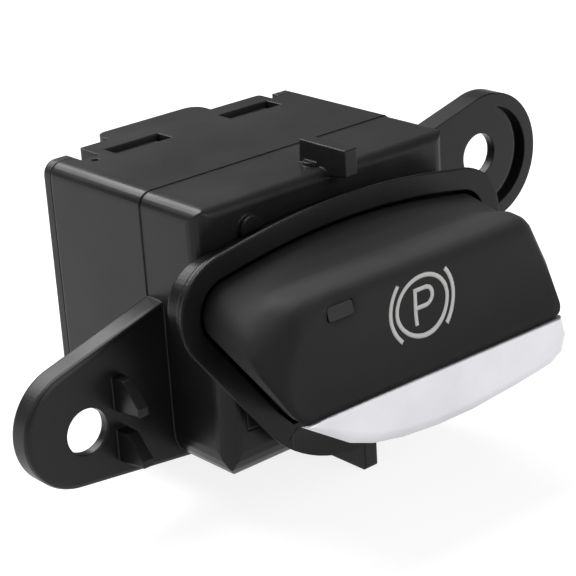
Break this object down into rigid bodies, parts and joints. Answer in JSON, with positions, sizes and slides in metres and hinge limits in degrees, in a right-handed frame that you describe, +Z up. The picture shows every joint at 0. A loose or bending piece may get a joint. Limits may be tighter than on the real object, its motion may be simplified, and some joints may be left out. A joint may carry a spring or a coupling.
{
  "type": "parking brake switch",
  "caption": "Electric parking brake switch: boxed body with two diagonal fixing ears, rim, rocking paddle with bright finger lip, sprung pushers on contact domes and a rear connector socket",
  "frame": {"origin": "midpoint of the two fixing holes, at the front face of the left ear", "axes": "X runs from ear to ear, +Y points to the rear where the connector is, Z up; the driver's side faces -Y"},
  "size_m": [0.0841, 0.0565, 0.044],
  "materials": {
    "black_body": "moulded, fine matte grain",
    "black_cover": "moulded, fine matte grain",
    "black_bezel": "moulded satin",
    "soft_black": "soft-touch paint, very matte",
    "bright_trim": "satin chrome plating",
    "smoked_lens": "smoked translucent",
    "white_diffuser": "translucent white",
    "inner_black": "moulded",
    "steel": "ground steel",
    "natural_frame": "natural nylon",
    "white_pusher": "acetal",
    "white_pusher_low": "acetal",
    "spring_wire": "drawn wire",
    "spring_wire_low": "drawn wire",
    "silicone": "moulded silicone",
    "solder_mask": "green mask on glass epoxy",
    "lamp_amber": "lamp body",
    "lamp_white": "lamp body",
    "clear_guide": "clear acrylic",
    "tin_pins": "plated brass"
  },
  "bodies": {
    "body": {"housing": "black_body", "rear_cover": "black_cover", "bezel": "black_bezel", "hinge_pin": "steel", "guide_frame": "natural_frame", "apply_spring": "spring_wire", "release_spring": "spring_wire_low", "contact_mat": "silicone", "circuit_board": "solder_mask", "indicator_led": "lamp_amber", "symbol_led": "lamp_white", "light_guide": "clear_guide", "terminal_pins": "tin_pins"},
    "lever": {"paddle": "soft_black", "lip_trim": "bright_trim", "indicator_lens": "smoked_lens", "symbol_diffuser": "white_diffuser", "rocker": "inner_black"},
    "pusher_up": {"apply_pusher": "white_pusher"},
    "pusher_down": {"release_pusher": "white_pusher_low"}
  },
  "joints": [
    {"name": "paddle_tilt", "type": "hinge", "parent": "body", "child": "lever", "pos_m": [0, -0.0065, 0], "axis": [-1, 0, 0], "range_deg": [-4, 4], "stiffness_Nm_per_rad": 0.5, "deforming": ["apply_spring", "release_spring", "contact_mat"]},
    {"name": "apply_slide", "type": "slide", "parent": "body", "child": "pusher_up", "axis": [0, 1, 0], "range_m": [-0.0005, 0.0005]},
    {"name": "release_slide", "type": "slide", "parent": "body", "child": "pusher_down", "axis": [0, 1, 0], "range_m": [-0.0005, 0.0005]}
  ],
  "couplings": [
    {"joint": "apply_slide", "follows": "paddle_tilt", "m_per_rad": 0.005},
    {"joint": "release_slide", "follows": "paddle_tilt", "m_per_rad": -0.005}
  ]
}
